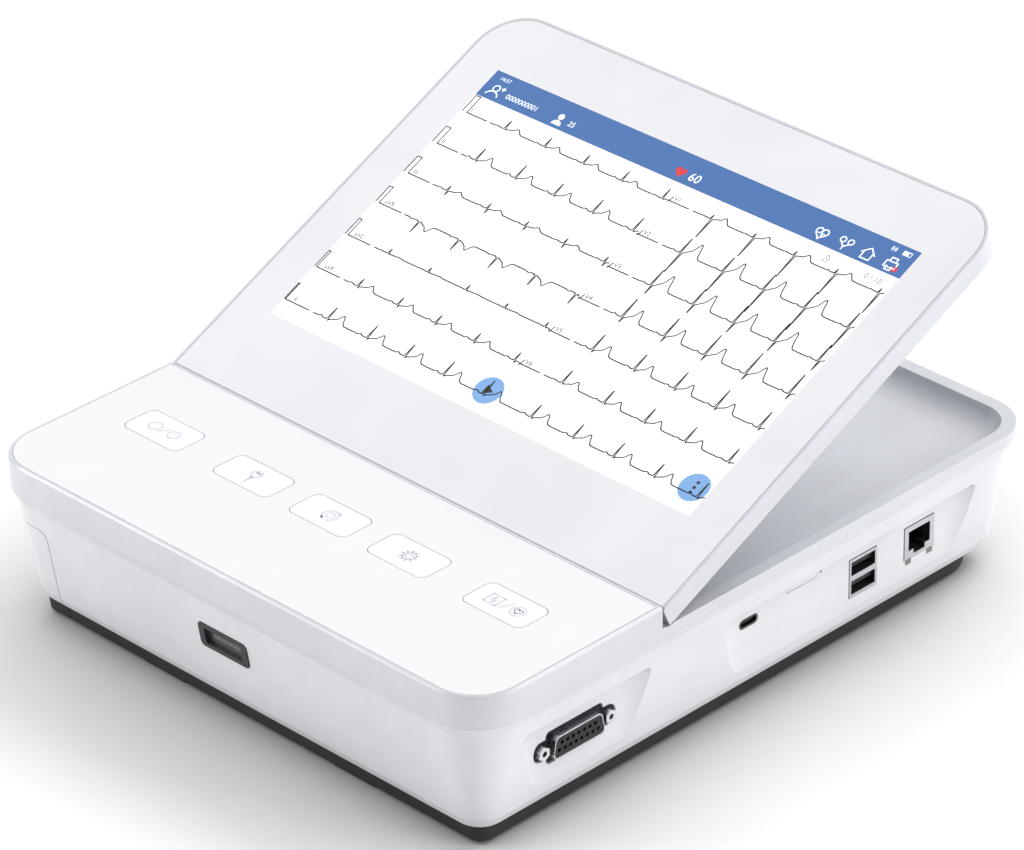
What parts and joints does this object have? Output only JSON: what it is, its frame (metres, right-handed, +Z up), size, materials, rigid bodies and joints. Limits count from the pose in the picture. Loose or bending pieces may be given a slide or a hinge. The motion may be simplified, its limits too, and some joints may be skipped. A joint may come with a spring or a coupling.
{
  "type": "ecg machine",
  "caption": "Portable desktop ECG recorder with a tilting touch display, five flat keys, a side paper drawer with thermal printer, and lead, USB, network and card sockets.",
  "frame": {"origin": "Centre of the footprint on the table plane, under the rubber feet.", "axes": "X across the machine with +X towards the socket side, Y from the front face to the back, Z up. The display is at its rest tilt of 25 degrees."},
  "size_m": [0.256, 0.294, 0.1527],
  "materials": {
    "silver_plastic": "satin silver-grey moulded plastic, fine grain",
    "deck_panel": "glossy white acrylic panel",
    "white_plastic": "satin white moulded plastic, fine grain",
    "charcoal_plastic": "charcoal textured plastic",
    "black_plastic": "black moulded plastic",
    "rubber_black": "soft black rubber",
    "cover_glass": "white-backed cover glass with a clear picture window",
    "tinted_window": "smoky clear window",
    "lcd": "lit picture on a white field, metal tray behind",
    "steel": "plated sheet steel",
    "screw_steel": "zinc-plated screws",
    "aluminium": "extruded aluminium",
    "circuit_green": "green solder mask with copper and parts",
    "silicone_grey": "translucent grey silicone",
    "chart_paper": "folded thermal paper with a pale red grid",
    "bearing_plastic": "tan bearing plastic",
    "gear_plastic": "ivory acetal",
    "ceramic_strip": "alumina strip with a glazed heating line",
    "cell_wrap": "blue shrink wrap",
    "plated_brass": "nickel-plated brass"
  },
  "bodies": {
    "case": {"top_case": "silver_plastic", "keypad_panel": "deck_panel", "lower_case": "white_plastic", "base_plate": "charcoal_plastic", "battery_door": "charcoal_plastic", "rubber_feet": "rubber_black", "case_screws": "screw_steel", "keypad_mat": "silicone_grey", "keypad_board": "circuit_green", "hinge_brackets": "steel", "gear_plate": "steel", "stepper_motor": "steel", "head_strip": "ceramic_strip", "head_heatsink": "aluminium", "head_springs": "steel", "tear_bar": "steel", "main_board": "circuit_green", "io_board": "circuit_green", "ecg_board": "circuit_green", "ecg_shield": "steel", "power_supply": "circuit_green", "battery_pack": "cell_wrap", "speaker": "black_plastic", "board_screws": "screw_steel", "lead_shell": "steel", "lead_insert": "black_plastic", "jack_screws": "steel", "usb_a_shell": "steel", "usb_a_tongues": "black_plastic", "usb_c_port": "steel", "lan_socket": "steel", "card_socket": "steel", "mains_inlet": "black_plastic", "earth_stud": "plated_brass", "scanner_bezel": "charcoal_plastic", "scanner_window": "tinted_window", "scanner_module": "black_plastic"},
    "display": {"display_frame": "silver_plastic", "display_glass": "cover_glass", "lcd_panel": "lcd", "display_back": "white_plastic", "display_board": "circuit_green", "display_screws": "screw_steel", "hinge_leaves": "steel", "hinge_pins": "steel"},
    "key_power_body": {"key_power": "deck_panel"},
    "key_leads_body": {"key_leads": "deck_panel"},
    "key_repeat_body": {"key_repeat": "deck_panel"},
    "key_setup_body": {"key_setup": "deck_panel"},
    "key_record_body": {"key_record": "deck_panel"},
    "drawer": {"drawer_front": "white_plastic", "drawer_tray": "charcoal_plastic", "paper_pack": "chart_paper", "platen_bushes": "bearing_plastic"},
    "platen": {"platen_roller": "rubber_black", "platen_shaft": "steel", "platen_gear": "gear_plastic"},
    "idler": {"idler_gear": "gear_plastic"},
    "pinion": {"drive_pinion": "steel"},
    "card": {"card_tray": "white_plastic"}
  },
  "joints": [
    {"name": "display_tilt", "type": "hinge", "parent": "case", "child": "display", "pos_m": [0, -0.0518, 0.0658], "axis": [1, 0, 0], "range_deg": [-25, 30]},
    {"name": "key_power_press", "type": "slide", "parent": "case", "child": "key_power_body", "axis": [0, 0, -1], "range_m": [0, 0.0005]},
    {"name": "key_leads_press", "type": "slide", "parent": "case", "child": "key_leads_body", "axis": [0, 0, -1], "range_m": [0, 0.0005]},
    {"name": "key_repeat_press", "type": "slide", "parent": "case", "child": "key_repeat_body", "axis": [0, 0, -1], "range_m": [0, 0.0005]},
    {"name": "key_setup_press", "type": "slide", "parent": "case", "child": "key_setup_body", "axis": [0, 0, -1], "range_m": [0, 0.0005]},
    {"name": "key_record_press", "type": "slide", "parent": "case", "child": "key_record_body", "axis": [0, 0, -1], "range_m": [0, 0.0005]},
    {"name": "drawer_pull", "type": "slide", "parent": "case", "child": "drawer", "axis": [-1, 0, 0], "range_m": [0, 0.11]},
    {"name": "platen_spin", "type": "hinge", "parent": "drawer", "child": "platen", "pos_m": [-0.11, 0, 0.0345], "axis": [0, 1, 0], "continuous": true},
    {"name": "idler_spin", "type": "hinge", "parent": "case", "child": "idler", "pos_m": [-0.092, 0, 0.0345], "axis": [0, 1, 0], "continuous": true},
    {"name": "pinion_spin", "type": "hinge", "parent": "case", "child": "pinion", "pos_m": [-0.07971, 0, 0.0259], "axis": [0, 1, 0], "continuous": true},
    {"name": "card_eject", "type": "slide", "parent": "case", "child": "card", "axis": [1, 0, 0], "range_m": [0, 0.012]}
  ],
  "couplings": [
    {"joint": "idler_spin", "follows": "platen_spin", "ratio": -0.66667},
    {"joint": "pinion_spin", "follows": "platen_spin", "ratio": 1.7143}
  ]
}
